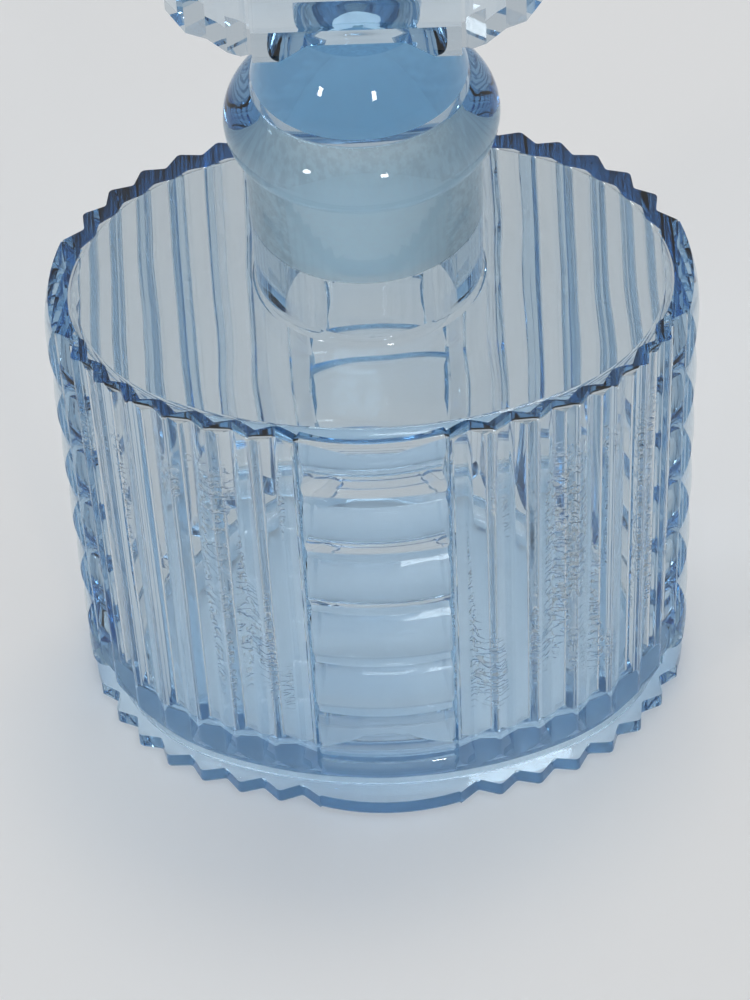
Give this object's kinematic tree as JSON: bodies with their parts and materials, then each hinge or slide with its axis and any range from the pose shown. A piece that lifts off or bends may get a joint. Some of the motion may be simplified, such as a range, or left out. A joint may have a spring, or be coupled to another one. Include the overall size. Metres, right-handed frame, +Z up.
{
  "type": "perfume bottle",
  "caption": "Oval pressed-glass scent bottle with ribbed sides, bulged panels, a thick rolled lip and a ground glass stopper that lifts out.",
  "frame": {"origin": "middle of the foot's underside, where the bottle stands", "axes": "+Z up through the neck, X the long way of the oval, the front panel faces -Y"},
  "size_m": [0.0868, 0.0666, 0.1454],
  "materials": {
    "bottle_glass": "fire-polished pale blue pressed glass, ground inside the neck",
    "stopper_glass": "fire-polished pale blue pressed glass, plug ground matt"
  },
  "bodies": {
    "bottle": {"bottle": "bottle_glass"},
    "stopper": {"stopper": "stopper_glass"}
  },
  "joints": [
    {"name": "stopper_lift", "type": "slide", "parent": "bottle", "child": "stopper", "axis": [0, 0, 1], "range_m": [0, 0.04]}
  ]
}
